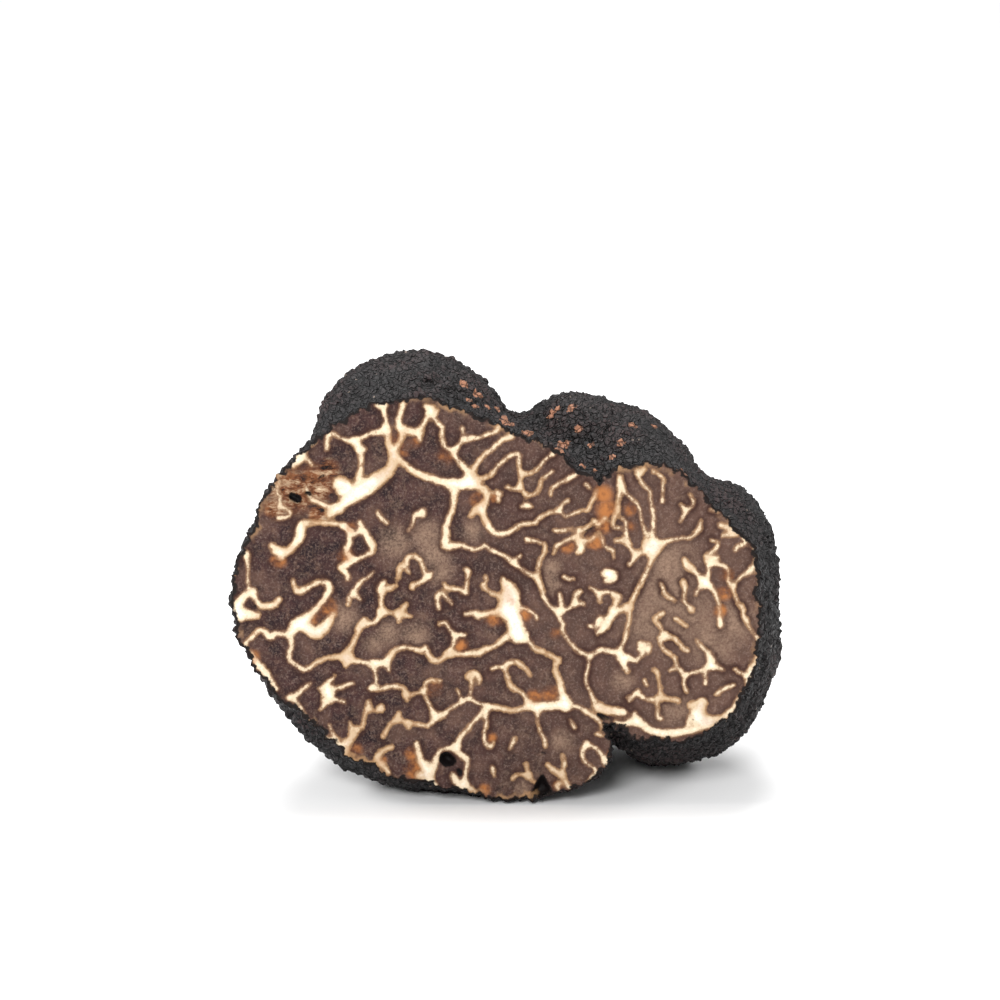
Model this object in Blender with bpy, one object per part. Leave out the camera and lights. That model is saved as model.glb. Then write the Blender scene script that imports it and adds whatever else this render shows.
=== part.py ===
"""A black truffle, cut across once and standing on its rounded underside.

The tuber grew as one piece, so it is one solid: a lumpy body of two lobes that have grown
together, with a flat cut face at the front. The row frame is in metres with +Z up. The cut
face looks along -Y and leans back a little, +X runs along its long side, and the origin is
the middle of the body's box, on the surface that the truffle stands on.
"""

import math

import bmesh
import bpy
from mathutils import Vector, noise

MM = 0.001

# The knife's plane leans back from upright by this angle.
LEAN = math.radians(5.0)
# The body behind the cut reaches this far back from it, and its back is fuller than an ellipse.
BACK_DEPTH = 40.5
BACK_FULLNESS = 2.15
# The back's middle, which the rings close on, and the half sizes of the plain oval that its
# rings grow into: along the cut face, and up it.
BACK_MIDDLE = (1.0, 28.5)
BACK_HALF_SIZES = (36.0, 26.5)
# How far the underside is worn flat: the body is trimmed by this much at its lowest point.
REST_TRIM = 0.45

# Each station is a point on the cut's outline and the point where the skin behind it bulges
# out furthest, in millimetres: (along, up) on the outline, then (along, up, behind the cut).
# They run clockwise, seen from the front, from the foot of the left-hand hump.
STATIONS = (
    ((-24.8, 48.6), (-26.3, 48.9, 10.0)),
    ((-22.5, 50.6), (-24.6, 53.0, 13.0)),
    ((-19.5, 52.2), (-21.0, 56.6, 15.0)),
    ((-16.5, 53.4), (-16.2, 58.4, 16.5)),
    ((-12.5, 53.5), (-11.8, 59.0, 17.0)),
    ((-8.5, 53.2), (-7.5, 57.9, 17.0)),
    ((-4.5, 51.6), (-3.7, 55.6, 17.0)),
    ((-0.5, 50.1), (-0.5, 53.0, 17.0)),
    ((3.8, 48.3), (2.0, 51.8, 17.0)),
    ((7.6, 46.2), (4.8, 52.2, 18.0)),
    ((10.2, 43.9), (8.0, 52.9, 18.0)),
    ((12.0, 43.0), (11.2, 52.9, 18.0)),
    ((14.5, 44.4), (14.6, 52.1, 18.0)),
    ((18.3, 45.2), (18.0, 50.8, 18.0)),
    ((21.9, 44.7), (21.6, 48.6, 17.0)),
    ((25.0, 42.5), (25.3, 45.3, 16.0)),
    ((27.6, 39.5), (28.8, 42.5, 15.0)),
    ((30.2, 36.8), (32.6, 40.3, 15.0)),
    ((32.3, 34.5), (35.2, 36.8, 15.0)),
    ((33.1, 30.5), (36.9, 31.5, 15.0)),
    ((33.2, 26.0), (37.7, 26.0, 15.0)),
    ((33.0, 21.5), (37.6, 20.5, 15.0)),
    ((31.8, 17.0), (36.8, 15.0, 15.0)),
    ((29.6, 12.8), (34.8, 10.0, 15.5)),
    ((26.8, 10.0), (31.2, 5.4, 17.0)),
    ((23.0, 8.8), (26.6, 2.3, 18.5)),
    ((19.0, 9.3), (21.6, 1.2, 19.0)),
    ((15.6, 10.6), (17.8, 1.8, 19.0)),
    ((12.4, 12.3), (15.0, 4.0, 17.0)),
    ((14.3, 7.8), (12.8, 2.4, 16.5)),
    ((12.5, 3.8), (10.2, 1.5, 16.5)),
    ((8.0, 1.7), (6.0, 1.1, 16.5)),
    ((1.2, 0.3), (0.5, 1.0, 16.5)),
    ((-5.0, 1.3), (-6.0, 1.0, 16.5)),
    ((-11.3, 2.6), (-12.3, 1.3, 16.0)),
    ((-17.1, 4.6), (-18.2, 3.2, 14.0)),
    ((-22.0, 7.2), (-23.2, 6.0, 11.0)),
    ((-26.1, 11.3), (-27.3, 10.2, 9.0)),
    ((-30.9, 15.2), (-31.1, 14.8, 7.0)),
    ((-34.4, 20.2), (-34.3, 20.2, 6.0)),
    ((-36.2, 26.0), (-36.1, 26.0, 6.0)),
    ((-36.0, 32.0), (-35.8, 32.0, 6.0)),
    ((-33.7, 36.5), (-33.5, 36.6, 6.0)),
    ((-31.8, 41.0), (-31.5, 41.1, 6.0)),
    ((-28.5, 46.0), (-28.4, 45.6, 7.0)),
)

# Furrows in the skin: (depth, half width) and the line that each follows, as (along, up,
# behind the cut). The first parts the two lobes, over the top, down the back and underneath.
FURROWS = (
    ((2.6, 3.6), ((8.0, 49.0, 5.0), (2.5, 53.0, 15.0), (1.0, 50.5, 27.0), (3.0, 42.0, 36.0),
                  (7.0, 29.0, 40.5), (10.5, 15.0, 37.0), (13.5, 5.0, 27.0), (14.5, 3.0, 16.0))),
    ((1.4, 2.8), ((28.0, 43.5, 9.0), (27.5, 42.0, 22.0), (22.0, 37.0, 34.0), (14.0, 33.5, 40.0))),
    ((1.7, 3.2), ((-29.0, 44.0, 10.0), (-27.0, 42.0, 24.0), (-19.0, 38.5, 36.0), (-9.0, 37.0, 40.5))),
    ((1.2, 2.8), ((-24.0, 10.0, 22.0), (-16.0, 11.0, 34.0), (-8.0, 16.0, 39.5), (-4.0, 24.0, 40.5))),
)

# Swellings between the furrows: (height, radius) and the middle of each.
SWELLINGS = (
    ((1.8, 10.0), (-12.0, 50.0, 32.0)),
    ((1.3, 8.0), (14.0, 46.0, 33.0)),
    ((1.6, 9.0), (25.0, 19.0, 34.0)),
    ((1.9, 10.0), (-19.0, 26.0, 38.0)),
    ((1.2, 7.0), (-1.0, 9.0, 34.0)),
    ((1.0, 6.0), (-32.0, 28.0, 20.0)),
)

# Small unevenness all over the skin: its height and the size of its lumps.
LUMP_HEIGHT = 0.75
LUMP_SIZE = 9.0
# The skin keeps to its stations at the cut, and is free to swell this far behind it.
FREE_FROM = 6.0

POINTS_PER_STATION = 3
FRONT_RINGS = 6
BACK_RINGS = 13


def eased(share):
    """A share from 0 to 1, with a smooth start and end."""
    share = min(1.0, max(0.0, share))
    return share * share * (3.0 - 2.0 * share)


def closed_curve(points, per_point):
    """Points on the smooth closed curve through the given ones."""
    count = len(points)
    curve = []
    for index in range(count):
        before, here, after, beyond = (Vector(points[(index + k) % count]) for k in (-1, 0, 1, 2))
        for step in range(per_point):
            t = step / per_point
            curve.append(
                here
                + (after - before) * (0.5 * t)
                + (before - here * 2.5 + after * 2.0 - beyond * 0.5) * t**2
                + ((here - after) * 1.5 + (beyond - before) * 0.5) * t**3
            )
    return curve


def ring(outline, bulge, depth_share):
    """One ring of the skin between the cut, at 0, and where it bulges out furthest, at 1."""
    left = (1.0 - depth_share) ** 2
    return [
        Vector((
            wide.x + (edge.x - wide.x) * left,
            wide.y + (edge.y - wide.y) * left,
            wide.z * depth_share,
        ))
        for edge, wide in zip(outline, bulge, strict=True)
    ]


def back_ring(bulge, angle):
    """One ring of the back, as the angle goes from 0 at the bulge to a quarter turn at the middle."""
    inward = math.cos(angle) ** (2.0 / BACK_FULLNESS)
    backward = math.sin(angle) ** (2.0 / BACK_FULLNESS)
    middle = Vector(BACK_MIDDLE)
    half = Vector(BACK_HALF_SIZES)
    rounded = eased(1.4 * math.sin(angle))
    places = []
    for wide in bulge:
        turn = math.atan2((wide.y - middle.y) / half.y, (wide.x - middle.x) / half.x)
        oval = Vector((middle.x + half.x * math.cos(turn), middle.y + half.y * math.sin(turn)))
        flat = wide.xy.lerp(oval, rounded)
        across = middle + (flat - middle) * inward
        places.append(Vector((across.x, across.y, wide.z + (BACK_DEPTH - wide.z) * backward)))
    return places


def rings():
    """Every ring of the body, from the cut to the back, in (along, up, behind the cut)."""
    outline = closed_curve([cut for cut, _ in STATIONS], POINTS_PER_STATION)
    bulge = closed_curve([wide for _, wide in STATIONS], POINTS_PER_STATION)
    front = [ring(outline, bulge, k / FRONT_RINGS) for k in range(FRONT_RINGS + 1)]
    quarter = math.pi / 2
    back = [back_ring(bulge, quarter * k / BACK_RINGS) for k in range(1, BACK_RINGS)]
    return front + back


def distance_to_line(point, line):
    """The distance from a point to a line of straight pieces."""
    nearest = math.inf
    for start, end in zip(line, line[1:]):
        start, along = Vector(start), Vector(end) - Vector(start)
        share = min(1.0, max(0.0, (point - start).dot(along) / along.length_squared))
        nearest = min(nearest, (point - start - along * share).length)
    return nearest


def swell(point):
    """How far the skin stands out at a point, from its furrows, swellings and lumps."""
    height = LUMP_HEIGHT * noise.noise(point / LUMP_SIZE)
    for (depth, half_width), line in FURROWS:
        height -= depth * math.exp(-((distance_to_line(point, line) / half_width) ** 2))
    for (rise, radius), middle in SWELLINGS:
        height += rise * math.exp(-(((point - Vector(middle)).length / radius) ** 2))
    return height * eased(point.z / FREE_FROM)


def to_row_frame(point):
    """A place given as (along, up, behind the cut), in millimetres, as metres in the row frame."""
    along, up, behind = point
    return Vector((
        along,
        behind * math.cos(LEAN) + up * math.sin(LEAN),
        up * math.cos(LEAN) - behind * math.sin(LEAN),
    )) * MM


def build_body():
    """The whole body as a closed mesh, not yet trimmed underneath."""
    body = bmesh.new()
    all_rings = rings()
    start = bmesh.ops.create_circle(body, segments=len(all_rings[0]), radius=1.0, cap_ends=True)["verts"]
    loop = list(start)
    drawn = []
    for number, places in enumerate(all_rings):
        if number:
            edges = [body.edges.get((a, b)) for a, b in zip(loop, loop[1:] + loop[:1])]
            made = bmesh.ops.extrude_edge_only(body, edges=edges)["geom"]
            fresh = {v for v in made if isinstance(v, bmesh.types.BMVert)}
            loop = [next(e.other_vert(v) for e in v.link_edges if e.other_vert(v) in fresh) for v in loop]
        for vert, place in zip(loop, places, strict=True):
            vert.co = place
            drawn.append(vert)
    rim = [body.edges.get((a, b)) for a, b in zip(loop, loop[1:] + loop[:1])]
    last = bmesh.ops.extrude_edge_only(body, edges=rim)["geom"]
    tip = [v for v in last if isinstance(v, bmesh.types.BMVert)]
    bmesh.ops.pointmerge(body, verts=tip, merge_co=Vector((*BACK_MIDDLE, BACK_DEPTH)))
    bmesh.ops.recalc_face_normals(body, faces=body.faces)
    for vert in [v for v in body.verts if v.co.z > 0.0]:
        vert.co += vert.normal * swell(vert.co)
    for vert in body.verts:
        vert.co = to_row_frame(vert.co)
    bmesh.ops.recalc_face_normals(body, faces=body.faces)
    return body


def trim_underside(body):
    """Cuts the underside flat, where the truffle stands, and sets the origin there."""
    floor = min(v.co.z for v in body.verts) + REST_TRIM * MM
    everything = body.verts[:] + body.edges[:] + body.faces[:]
    bmesh.ops.bisect_plane(
        body, geom=everything, plane_co=(0.0, 0.0, floor), plane_no=(0.0, 0.0, -1.0), clear_outer=True
    )
    bmesh.ops.holes_fill(body, edges=[e for e in body.edges if e.is_boundary], sides=0)
    bmesh.ops.dissolve_degenerate(body, dist=0.02 * MM, edges=body.edges)
    bmesh.ops.recalc_face_normals(body, faces=body.faces)
    xs = [v.co.x for v in body.verts]
    ys = [v.co.y for v in body.verts]
    middle = Vector(((min(xs) + max(xs)) / 2, (min(ys) + max(ys)) / 2, floor))
    bmesh.ops.translate(body, verts=body.verts, vec=-middle)


def skin_material():
    """The dull, nearly black skin."""
    material = bpy.data.materials.new("truffle")
    material.use_nodes = True
    shader = material.node_tree.nodes["Principled BSDF"]
    shader.inputs["Base Color"].default_value = (0.030, 0.024, 0.022, 1.0)
    shader.inputs["Roughness"].default_value = 0.75
    shader.inputs["Metallic"].default_value = 0.0
    return material


def main():
    for obj in list(bpy.data.objects):
        bpy.data.objects.remove(obj)
    body = build_body()
    trim_underside(body)
    mesh = bpy.data.meshes.new("truffle")
    body.to_mesh(mesh)
    body.free()
    mesh.materials.append(skin_material())
    mesh.shade_smooth()
    mesh.set_sharp_from_angle(angle=math.radians(40.0))
    bpy.context.scene.collection.objects.link(bpy.data.objects.new("truffle", mesh))


main()
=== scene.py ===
"""A cut black truffle: marbled flesh on the knife's flat face, and a warty black skin all round.

The truffle grew as one piece, so it is one closed mesh. Its flesh face carries veins, stains
and torn places along routes given in the knife's own plane: millimetres along, and up, the cut.
"""

import logging
import math
import random
from dataclasses import dataclass
from enum import Enum

import bmesh
import bpy
import numpy as np
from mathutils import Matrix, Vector, kdtree, noise


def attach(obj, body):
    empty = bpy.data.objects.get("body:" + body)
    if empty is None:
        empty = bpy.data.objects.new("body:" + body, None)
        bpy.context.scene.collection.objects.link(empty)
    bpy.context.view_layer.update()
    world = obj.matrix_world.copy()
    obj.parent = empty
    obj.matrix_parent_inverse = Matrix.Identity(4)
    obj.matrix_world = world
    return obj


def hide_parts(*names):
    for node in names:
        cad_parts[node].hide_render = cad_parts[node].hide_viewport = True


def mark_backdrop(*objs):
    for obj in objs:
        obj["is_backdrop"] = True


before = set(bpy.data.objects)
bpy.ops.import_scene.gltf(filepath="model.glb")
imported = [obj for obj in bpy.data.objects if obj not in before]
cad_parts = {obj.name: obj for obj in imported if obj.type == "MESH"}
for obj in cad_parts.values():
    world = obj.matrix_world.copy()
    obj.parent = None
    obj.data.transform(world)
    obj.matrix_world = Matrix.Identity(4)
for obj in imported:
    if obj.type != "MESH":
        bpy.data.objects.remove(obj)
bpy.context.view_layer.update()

MM = 0.001
SEED = 20


# Veins: each line is one vein, and each point is (along, up, width) on the cut, in millimetres.
UPPER_LEFT_VEINS = """
-23.5,47.4,.4 -23.45,49,.6 -22.7,49.45,.5 -21.75,48.9,.35 -20.7,48.55,.6 -19.8,48.3,1 -19.2,47.1,.9 -19.05,46.1,.6 -19.1,45,.6 -19.3,43.8,.8 -19.4,43,.9
-19.7,48.6,.8 -18.9,49,.5 -17.75,49.5,.5 -16.9,49.65,.7 -16.2,49.9,.9 -15.8,50.7,.7 -15.75,51.4,.4 -16,52.3,.7 -16.2,53.1,.8
-17,53.25,.4 -15.8,53.2,.5
-19,47.5,.7 -18.6,47.4,.5
-15.6,50.2,.8 -15.5,49,.6 -15.4,48.1,.7 -14.95,47.2,1 -14.75,46.3,1.1 -15,45.3,1.2 -15.6,44.4,1.4 -16.8,43.5,1.8 -18.5,42.3,2.2 -19.8,41.5,2 -21,40.6,1.5 -22.2,39.6,1.2 -23.2,38.9,1
-21.8,42.8,2 -21.3,42.3,2.4
-13.5,53.4,.7 -13.75,52.2,.6 -14.1,51.25,.8 -14,50.4,.8 -13.65,49.25,.5 -14.1,48.1,.5 -14.8,47.2,.8
-13.9,50.3,.6 -12.6,49.75,1 -11.55,49.6,.9 -11.3,48.65,.5
-11.3,49.9,.6 -10.85,50.65,.5 -10.3,51.7,.6 -9.8,52.5,1 -10.5,53,.7
-9.8,52.5,.8 -9.1,52.4,.5
-9.9,52.2,.6 -9,50.9,.5 -8.4,50.3,.5 -8.4,49.25,.5 -8.15,47.95,.5 -7.35,47.35,.5 -6.65,47.45,.6 -5.8,48.4,.5 -4.75,48.85,.6 -3.6,49,.4 -2.4,49.35,.45 -1.5,49.7,.6 -.9,50.4,.6
-5.6,48.8,.4 -5.8,50.2,.4
-6.9,47.2,.5 -6.7,46.4,.5 -6.1,45.7,.6 -5.4,44.9,.8 -4.9,44.1,1 -4.7,43.2,1.5
-14.8,46.6,.9 -13.9,45.9,.7 -12.8,45,.7 -11.6,44.2,.8 -10,43.6,.9 -8.2,43.1,1 -6.9,42.8,1.4 -5.2,42.9,1.6 -4.4,43.1,1.4
-4.6,43.9,.8 -3.95,45.35,.5 -3,46.5,.5 -1.95,47.35,.5 -1.15,48.15,.5 -.35,48.75,.7 .6,49.1,.9
-4.2,43.2,.8 -2.9,43.65,.45 -1.95,44.05,.5 -1.15,45.1,.4 -.1,46.05,.4 .85,46.7,.4 1.65,46.75,.6 1.7,45.7,.45 1.8,44.75,.4 2,44.15,.45 1.9,43.3,.35 1.9,42.6,.4 2.3,41.9,.4 2.8,41.25,.4 3.4,41.35,.35 4.1,41.8,.4 4.5,42.65,.3 4.7,43.4,.3 5.3,43.9,.3 6.1,44.5,.3
2,44.15,.4 2.95,44.15,.3 3.9,44.65,.4 4.7,45.45,.35 5.4,46.3,.35 6.1,46.75,.6
.2,42.4,.5 1.05,42.15,.3 1.8,42.5,.4
5.9,41.4,.3 6.1,42.3,.35 6.95,42.9,.35 7.6,43.2,.4 8.6,43.75,.6 9.3,44.15,.5
-1.6,41.7,.3 -1.05,41.55,.8 -1.05,40.6,.4
2.1,39.85,.4 2.7,39.95,.8 3.3,39.85,.4
-25.05,48.3,.3 -26,47.85,.4 -26.6,47.1,.9 -27.25,46.2,1.2 -28,45.4,1
-26.4,46.5,.4 -25.6,45.4,.35
-26.3,42.2,.5 -25.8,41,.6 -25,40.5,.6 -23.6,39.9,.6 -21.9,39.4,.5
-29.8,43.2,.5 -30.2,42,.4 -29.8,41,.5 -29.8,40,.5
-30,39.7,.4 -29,39.5,.4 -28.4,38.9,.4 -28.9,38.4,.4 -30,38.3,.5
"""

LEFT_VEINS = """
-21.3,37.3,.6 -22.1,37.5,.5 -23.3,37.6,.5 -24.4,37.7,.5 -25.6,37.65,.5 -26.8,37.5,1 -27.1,36.7,1.3 -27.25,35.75,1.2 -27.85,34.8,.9 -28.6,34,.9 -29.5,33.8,1.1 -30.2,33.9,1.2 -30.8,34.6,.8
-29.7,33.8,1 -29.8,33.1,.7
-21.3,37.2,.6 -20.6,36.5,.8 -20.6,35.6,.7 -20.7,34.8,.8 -21,33.9,.9 -20.5,33,.6 -20.2,32.7,.5 -21.1,32.1,1 -21.7,31.7,.8 -21,30.8,.8 -20.9,30.3,.7
-20.6,36.3,.5 -19.8,36.3,.5 -19.1,36.6,.6
-19.2,37.7,.6 -18.9,36.9,.8 -18.4,36,.9 -17.9,35.1,1 -17.6,34.4,.8 -17.8,33.7,.6 -18.6,33.3,.5 -19.4,32.9,.5 -20.2,32.8,.5
-28.2,30,.3 -27.8,28.8,.5 -27.4,28.5,.7 -26.5,28.8,.7 -25.6,29.4,.5 -24.5,29.8,.6 -23.7,29.6,.8 -23.3,28.9,.8 -23.7,28,.8 -24.3,27.1,.7 -25.1,26.2,.8 -25.9,25.4,1 -26.9,24.5,1.6 -27.8,24,1.5
-27.6,24.2,1.2 -26.4,23.7,1.4 -25.2,23,1.6 -24.2,23.6,1.4 -23.4,24.6,1 -22.8,25.5,.6
-28,23.8,1 -28.6,22.7,.7 -28.5,22,.7 -28.4,21.1,.5 -28.7,20.3,.6 -28.7,19.4,.6 -28,18.8,.6 -26.8,18,.6 -25.8,18.5,.5 -24.9,19.1,.5 -23.7,19.6,.5 -22.3,19.8,.7 -21.1,19.6,1.2
-28.1,23.2,.6 -29.6,22.8,.5 -30.4,22.95,.6 -31.2,22.5,1 -32,23.1,.7 -32.6,23.4,.6 -33.1,23,.5 -33.6,22.4,.5 -34.4,21.6,.5 -34.4,20.7,.6 -33.9,20,1 -33.2,19.2,.9 -32.5,18.3,1.1 -31.8,17.4,1 -31.2,16.6,.7 -30.5,15.4,.5
-34.3,33.5,.9 -34.2,32.7,.7 -34.1,31.5,.3 -34.1,30.3,.4 -34,29.1,.5 -33.4,28.5,.8 -34.6,27.9,1 -35.5,26.5,1.4 -35.2,25.2,1.4
-33.4,28.3,.6 -33,27.3,.6 -32.4,26.6,.7 -31.2,26.6,.8 -30.5,26.9,.7 -30,27.5,.6
-35.9,32.3,.3 -35.7,31,.4
-35.2,25.8,1.2 -34,25.4,1.2 -32.9,25.3,.7
-28.8,14.2,.8 -27.6,14.8,.6 -26.7,15.7,.5 -26,16.1,.3
-28.1,13.9,.4 -27.3,13,.4 -26.7,11.8,.4 -26.1,10.6,.4 -25.15,9.3,.5 -24.1,8.8,.5 -23.5,8.55,.7 -22.8,8.55,.6 -22.1,7.8,.8 -21,8.3,.9 -20.4,9.15,.9 -19.8,9.9,.7 -19.1,10.35,.4 -18.85,11.35,.3 -18.6,12.3,.4 -18.35,13,.6 -18.3,13.6,.6
-23.6,15.2,1.2 -23.7,16.1,.8 -23.1,16.7,.35 -22.7,17.2,.2
-22.9,15.4,.6 -22.1,15.6,.45 -21.1,16,.45 -20.3,16.2,.4
-23.7,15,1.6 -23.4,14.4,1.3 -23.2,14.1,.9 -22.3,13.9,.5 -21.5,13.6,.35
-24.1,15.4,.7 -24.7,15.5,.4
-24,13.8,1 -24.3,13.1,.6 -24.7,12.6,.25
"""

MIDDLE_LEFT_VEINS = """
-21.1,19.6,1.2 -21,20.3,.9 -20.5,21.2,.6 -20.1,22,.5 -19.7,22.8,.5 -19.4,23.7,.8 -18.7,24.3,.8 -17.6,24.3,.5 -16.9,25,.6 -16.5,25.8,.9 -16.5,26.4,.6 -16.5,27.3,.4 -16.5,28.2,.7 -16.6,29.1,.7 -16.2,29.7,.6
-18.7,24.3,.6 -18.8,24.8,.4
-16.3,28.6,.6 -15.3,29,.5 -14.6,29.3,.4
-16.5,25.8,.7 -15.4,25.7,.4 -14.2,25.7,.6 -13.5,26.4,.5 -13.2,26.9,.3
-14,25.6,.5 -13.3,25.4,.4 -12.6,25.2,.25
-14.2,25.5,.6 -14.2,24.5,.4
-21.1,19.6,1.2 -19.9,19.2,.7 -18.7,19,.5 -17.55,18.9,.9 -16.4,18.9,.9 -15.8,19.2,.8 -15.3,20,.7 -14.6,20.7,.6 -13.65,21.05,.5 -12.2,20.8,.5 -11.3,20.6,.6 -10.7,20.9,.7 -10.35,20.2,.5 -9.8,19.4,.6 -8.9,19.25,.5 -8.1,19.8,.5 -7.6,20.2,.9 -6.9,20.2,.6 -5.7,20.1,.5 -4.5,20.2,.7 -3.55,20.3,.9 -2.6,20.8,.7 -1.65,21.15,.5 -.7,21.75,.6 0,22.35,.8
-15.8,19,.6 -15.7,18.5,.5 -15.55,17.8,.3
-17.5,18.8,.7 -17.5,18.3,.6 -17.3,17.3,.4 -17.3,16.35,.4 -17.7,15.6,.8 -18.1,15.5,.4
-21.1,19.2,.5 -21.2,18.5,.4
-17.5,15.6,.6 -16.6,15.4,.5 -15.7,15.75,.5 -14.6,15.75,.5 -13.65,15.5,.5 -13.3,14.7,.6 -13.1,13.8,.3
-13.3,14.6,.4 -12.35,14.7,.3 -11.4,15,.3 -10.9,15.4,.4 -10.6,16.2,.4 -10,16.6,.4 -9.3,16.5,.4 -8.7,16.5,.3
-10.95,15.2,.35 -10.5,13.95,.35 -9.9,12.75,.4 -9.3,11.9,1 -8.35,12,.8 -7.6,12.6,.45 -6.9,13.1,.35 -5.9,13.7,.45 -5.1,14.1,.45 -4.3,13.85,.4 -3.3,13.35,.4 -2.1,13,.5 -.95,12.85,.7 .25,12.6,.55 1.3,12.5,.5 2.25,12.8,.5 3.1,13.1,.8
-9.4,11.5,.8 -10.1,10.7,.5 -10.7,10.4,.4 -11.9,10.7,.4 -12.9,10.9,.5 -13.7,11.15,.4 -14.35,11.4,.7 -14.25,12.2,.4
-13,10.8,.5 -13,10.2,.5
-14.5,11.3,.5 -15.2,10.85,.35 -15.9,9.75,.4 -16.35,9.05,.5
-20.75,10.9,.3 -20.5,9.9,.6
-18.1,12.6,.5 -17.35,12.5,.4 -16.65,12.8,1
-23.5,10.6,.2 -23.1,9.6,.35 -22.7,8.7,.4
-16.85,39.2,.4 -16.7,38.6,.6 -16.1,38,.5 -15.7,37.7,.5
-11.1,39,1.2 -12,38.6,.6 -12.2,38,.5 -12.5,37.2,.4 -12.8,36.7,.3
-14.3,30.3,.4 -14.1,31.2,.6 -13.8,31.9,.6 -13.3,31.7,.35 -12.8,31,.2
-13.1,32.2,.4 -13,33,.5 -12.2,33.25,.5 -11.4,32.8,.5 -11,31.9,.4 -10.65,31,.5 -10.2,30.65,.7 -9.8,31,.3
-10.4,30.4,.6 -11.2,29.8,.4 -12.2,29.4,.6 -12.3,29.1,.6
-17.5,31.1,.2 -18.3,30.4,.35 -19.15,29.8,.4 -19.9,29,.5 -20.2,28.3,.7 -20.7,27.6,.6 -20.9,26.7,.35
-20.1,28.3,.5 -19.6,27.8,.35 -19.3,27.4,.2
-8.9,26.2,.4 -9,27.2,.5 -9,28,.7 -8.4,28.3,.5 -7.8,27.6,.3 -7.2,26.8,.2
-8.2,29.5,.3 -7.65,28.9,.5 -6.6,28.85,.5 -5.65,28.6,.6 -5.3,28.3,.5 -5.3,29.1,.3 -5.05,30.3,.35 -5.05,31.25,.6 -5.5,31.5,.4
-8.8,24.2,.4 -8.05,24.3,.45 -7.5,23.55,.35 -6.75,22.8,.5 -6.05,22.7,.5 -5.5,22.65,.5
-6.75,22.6,.5 -6.9,21.75,.4 -7.25,20.9,.45 -7.5,20.2,.6
"""

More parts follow.
